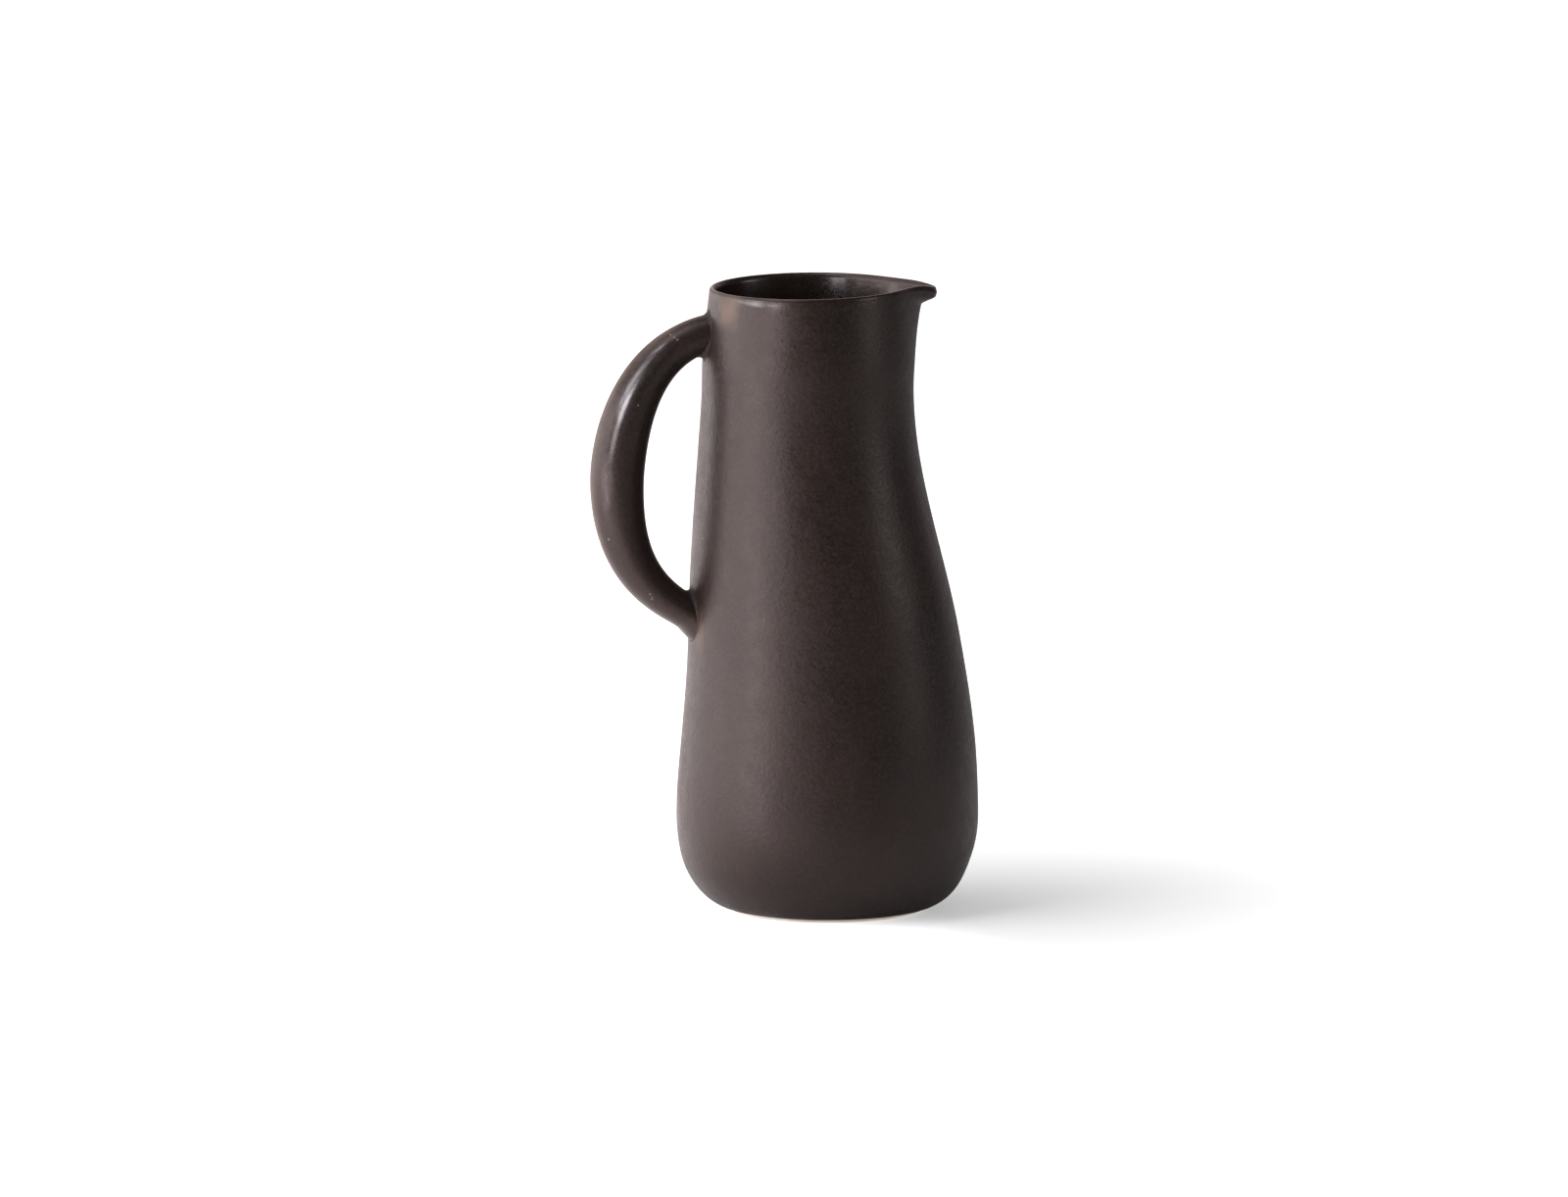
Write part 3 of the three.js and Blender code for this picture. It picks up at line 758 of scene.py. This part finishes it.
def luting(name, node, end, side_leg, outer_leg, inner_leg):
    """Coil of clay smoothed into the corner between handle and wall. Its hollow face is a quadratic
    Bezier from a toe on the wall, drawn toward the corner, to a toe on the handle. The legs are
    longest in the finger gap and shortest at the sides."""
    angle = TURN * np.arange(LUTING_STEPS) / LUTING_STEPS
    leg = (side_leg + (outer_leg - side_leg) * ((1 + np.cos(angle)) / 2) ** 4
           + (inner_leg - side_leg) * ((1 - np.cos(angle)) / 2) ** 4)
    corner, normal = handle_skin(share_at_wall(angle, -LUTING_SINK, end), angle)
    wall = wall_normal(corner)
    over_wall = unit(normal - wall * (normal * wall).sum(-1, keepdims=True))
    on_wall = corner + over_wall * leg[:, None]
    on_wall = on_wall - wall_normal(on_wall) * (LUTING_SINK + wall_distance(on_wall))[:, None]
    along = unit(wall - normal * (wall * normal).sum(-1, keepdims=True))
    rise = leg * (along * wall).sum(-1) - LUTING_SINK
    toe, toe_normal = handle_skin(share_at_wall(angle, rise, end), angle)
    on_handle = toe - toe_normal * LUTING_SINK
    t = np.linspace(0, 1, LUTING_ROWS)[:, None, None]
    face = on_wall * (1 - t) ** 2 + 2 * corner * t * (1 - t) + on_handle * t * t
    back = corner - (wall + normal) * LUTING_BACK
    rows = np.concatenate([back[None], face])
    # The pooled mark peaks in the crevice: pooled glaze there, and also painted shade of the corner.
    pooled = np.concatenate([[1], np.sin(math.pi * t[:, 0, 0])])[:, None]
    if end == 1:
        rows, pooled = rows[::-1], pooled[::-1]
    marks = {"thin": 0.0, "pooled": pooled, "polish": 0.0}
    return make_piece(name, rows, node, dark_glaze, wrap=True, marks=marks)


# Foot

def turned_foot():
    """Ring turned in the clay: a closed outline with rounded lower edges, carried round the foot's
    axis, with faint tool lines, a cosine of the radius, across its underside."""
    inner = FOOT_RADIUS - FOOT_WIDTH
    quarter = np.linspace(0, math.pi / 2, FOOT_EDGE_ROWS)
    round_in, round_up = FOOT_EDGE * (1 - np.cos(quarter)), FOOT_EDGE * (1 - np.sin(quarter))
    flat = np.linspace(inner + FOOT_EDGE, FOOT_RADIUS - FOOT_EDGE, FOOT_FLAT_ROWS)[1:-1]
    lines = FOOT_LINE * (1 - np.cos(TURN * FOOT_LINES * (flat - flat[0]) / (flat[-1] - flat[0]))) / 2
    radius = np.concatenate([
        [inner, inner], inner + round_in, flat, FOOT_RADIUS - round_up, [FOOT_RADIUS, FOOT_RADIUS]])
    z = np.concatenate([[FOOT_HEIGHT, FOOT_SIDE], round_up, lines, round_in, [FOOT_SIDE, FOOT_HEIGHT]])
    angle = TURN * np.arange(FOOT_STEPS)[None, :] / FOOT_STEPS
    radius, z = radius[:, None], z[:, None]
    rows = np.stack([radius * np.cos(angle), radius * np.sin(angle), z + 0 * angle], axis=-1)
    return make_piece("turned_foot", rows, "foot_ring", bare_clay, wrap=True)


body = thrown_body()
handle = pulled_handle()
upper_luting = luting("upper_luting", "upper_luting_coil", 0, *UPPER_LEGS)
lower_luting = luting("lower_luting", "lower_luting_coil", 1, *LOWER_LEGS)
foot = turned_foot()


# Studio, in metres

# Camera: it looks down by ELEVATION, and stands AZIMUTH to the handle's side of square-on. The
# middle of its picture lies AIM_LEFT and AIM_UP from the middle of the foot.
ELEVATION = math.radians(8.7)
AZIMUTH = math.radians(10.5)
RIGHT = Vector((math.cos(AZIMUTH), -math.sin(AZIMUTH), 0))
BEHIND = Vector((math.sin(AZIMUTH), math.cos(AZIMUTH), 0))
AHEAD = BEHIND * math.cos(ELEVATION) - Vector((0, 0, math.sin(ELEVATION)))
UP = RIGHT.cross(AHEAD)
CAMERA_DISTANCE, VIEW_WIDTH, SENSOR_WIDTH = 12.0, 0.6733, 36
AIM_LEFT, AIM_UP = 0.0186, 0.1325

# Floor: how far it reaches, its matt grey, how white the camera sees it in the shadow's place, and
# the distances from the foot, toward the shadow and toward the window over which that changes.
FLOOR_SIZE = 4.0
FLOOR_GREY = 0.72
NEAR_GLOW = 0.4
OPEN_FLOOR, SHADOW_SIDE, WINDOW_SIDE = (0.08, 0.45), (-0.02, 0.065), (-0.03, 0.15)

# World: the even light on matt surfaces, and what gloss sees of the sweep and of the dark room. The
# sweep's edge and its brighter left are cosines to the directions behind and left.
AMBIENT = 0.28
SWEEP, SWEEP_EDGE, SWEEP_LEFT = 0.95, (0.5, 0.95), (-0.4, 0.4)
WHITE, WARM_WHITE, DARK_ROOM = (1, 1, 1), (1, 0.86, 0.84), (0.06, 0.055, 0.055)

# Soft panels: azimuth, counted from the camera to its right, elevation, size, distance, colour and
# watts.
PANELS = {
    "window": (-110, 10, (1.8, 0.8), 1.6, (1, 0.97, 0.99), 9),
    "window_top": (-115, 44, (1.4, 0.5), 1.6, (1, 0.95, 0.93), 4),
    "window_front": (-80, 12, (1.3, 0.9), 1.6, (1, 0.96, 0.97), 7.4),
    "window_edge": (-62, 24, (0.9, 0.8), 1.6, (1, 0.97, 0.99), 4.9),
    "low": (-56, -2, (0.3, 0.22), 0.75, (1, 0.97, 0.99), 0.9),
    "front": (-48, 34, (0.8, 0.5), 1.6, (0.96, 0.93, 1), 1.3),
    "key": (-36, 18, (0.16, 0.2), 0.58, (0.97, 0.94, 1), 0.62),
    "top": (-60, 65, (0.8, 0.8), 1.6, (1, 0.97, 1), 7),
    "side": (76, 17, (0.5, 0.6), 1.6, (1, 0.98, 0.98), 2.4),
}
PANEL_TARGET = Vector((0, 0, 0.13))


def ray_kinds(tree):
    """One for rays straight from the camera, and one for rays off gloss or through glass."""
    camera, gloss, glass = (tree.node("ShaderNodeLightPath", output=f"Is {kind} Ray")
                            for kind in ("Camera", "Glossy", "Transmission"))
    return camera, gloss + glass


def make_floor():
    """White floor that keeps the shadow behind the foot and to its right, and is plain white to the
    eye elsewhere. Gloss sees it brighten toward the window."""
    s = FLOOR_SIZE
    mesh = bpy.data.meshes.new("white_floor")
    mesh.from_pydata([(-s, -s, 0), (s, -s, 0), (s, s, 0), (-s, s, 0)], [], [(0, 1, 2, 3)])
    material = bpy.data.materials.new("white_sweep")
    material.use_nodes = True
    tree = Tree(material.node_tree)
    place = tree.place()
    camera, gloss = ray_kinds(tree)
    away = tree.distance(place, (FOOT_AXIS * MM, 0, 0)).between(*OPEN_FLOOR)
    shadow_side = tree.dot(place, RIGHT + 0.5 * BEHIND).between(*SHADOW_SIDE)
    open_floor = 1 - (1 - away) * shadow_side
    window_side = tree.dot(place, -RIGHT).between(*WINDOW_SIDE)
    matt = tree.node("ShaderNodeBsdfDiffuse", {}, {"Color": (FLOOR_GREY,) * 3})
    glow = tree.node("ShaderNodeEmission", {}, {
        "Color": tree.mix(gloss, WHITE, WARM_WHITE),
        "Strength": camera * (NEAR_GLOW + (1 - NEAR_GLOW) * open_floor) + gloss * window_side})
    tree.surface(tree.node("ShaderNodeAddShader", {}, {0: matt, 1: glow}))
    mesh.materials.append(material)
    floor = bpy.data.objects.new("white_floor", mesh)
    bpy.context.scene.collection.objects.link(floor)


def make_world():
    """Plain room. The camera sees it white, and gloss sees the white sweep that hangs behind the jug,
    brighter toward the window."""
    world = bpy.data.worlds.new("studio")
    world.use_nodes = True
    tree = Tree(world.node_tree)
    camera, gloss = ray_kinds(tree)
    heading = tree.node("ShaderNodeTexCoord", output="Generated")
    leftward = tree.dot(heading, -RIGHT).between(*SWEEP_LEFT)
    sweep = tree.dot(heading, BEHIND).between(*SWEEP_EDGE) * (0.6 + 0.4 * leftward)
    seen_in_gloss = tree.mix(sweep, DARK_ROOM, tuple(SWEEP * part for part in WARM_WHITE))
    colour = tree.mix(camera, tree.mix(gloss, (AMBIENT,) * 3, seen_in_gloss), WHITE)
    background = tree.node("ShaderNodeBackground", {}, {"Color": colour})
    tree.node("ShaderNodeOutputWorld", {}, {"Surface": background})
    bpy.context.scene.world = world


def make_camera():
    aim = Vector((FOOT_AXIS * MM, 0, 0)) - AIM_LEFT * RIGHT + AIM_UP * UP
    data = bpy.data.cameras.new("view")
    data.sensor_width = SENSOR_WIDTH
    data.lens = SENSOR_WIDTH * CAMERA_DISTANCE / VIEW_WIDTH
    data.clip_end = 5 * CAMERA_DISTANCE
    camera = bpy.data.objects.new("view", data)
    camera.location = aim - AHEAD * CAMERA_DISTANCE
    camera.rotation_euler = AHEAD.to_track_quat("-Z", "Y").to_euler()
    bpy.context.scene.collection.objects.link(camera)
    bpy.context.scene.camera = camera


def make_panel(name, azimuth, elevation, size, distance, colour, power):
    """Soft panel that faces the middle of the jug and that the camera can't see."""
    azimuth, elevation = math.radians(azimuth), math.radians(elevation)
    level = RIGHT * math.sin(azimuth) - BEHIND * math.cos(azimuth)
    toward = level * math.cos(elevation) + Vector((0, 0, math.sin(elevation)))
    data = bpy.data.lights.new(name, "AREA")
    data.shape = "RECTANGLE"
    data.size, data.size_y = size
    data.color = colour
    data.energy = power
    lamp = bpy.data.objects.new(name, data)
    lamp.location = PANEL_TARGET + toward * distance
    lamp.rotation_euler = (-toward).to_track_quat("-Z", "Y").to_euler()
    lamp.visible_camera = False
    bpy.context.scene.collection.objects.link(lamp)


make_floor()
make_world()
make_camera()
for name, panel in PANELS.items():
    make_panel(name, *panel)
bpy.context.scene.view_settings.view_transform = "Standard"
